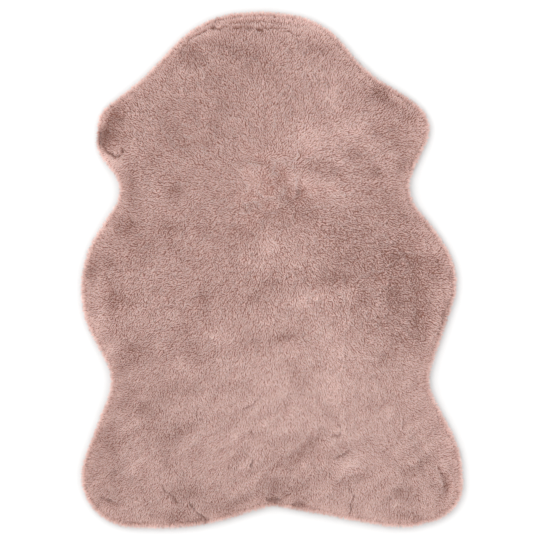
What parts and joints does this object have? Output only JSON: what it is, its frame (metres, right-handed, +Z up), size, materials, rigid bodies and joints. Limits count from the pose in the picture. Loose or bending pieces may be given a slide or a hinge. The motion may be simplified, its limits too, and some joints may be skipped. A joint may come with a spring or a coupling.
{
  "type": "faux fur rug",
  "caption": "Faux fur rug in one piece, cut to the outline of a stretched sheepskin, lying flat with its short dense dusty pink pile up.",
  "frame": {"origin": "on the floor under the middle of the rug's outline box, at the flat underside", "axes": "+X to the right as seen from above with the crown end at the top, +Y towards the crown end, +Z up out of the pile"},
  "size_m": [0.599, 0.81, 0.0242],
  "materials": {
    "fur_pink": "dusty pink plush pile, matt, darker between the tufts"
  },
  "bodies": {
    "root": {"fur_rug": "fur_pink"}
  },
  "joints": []
}
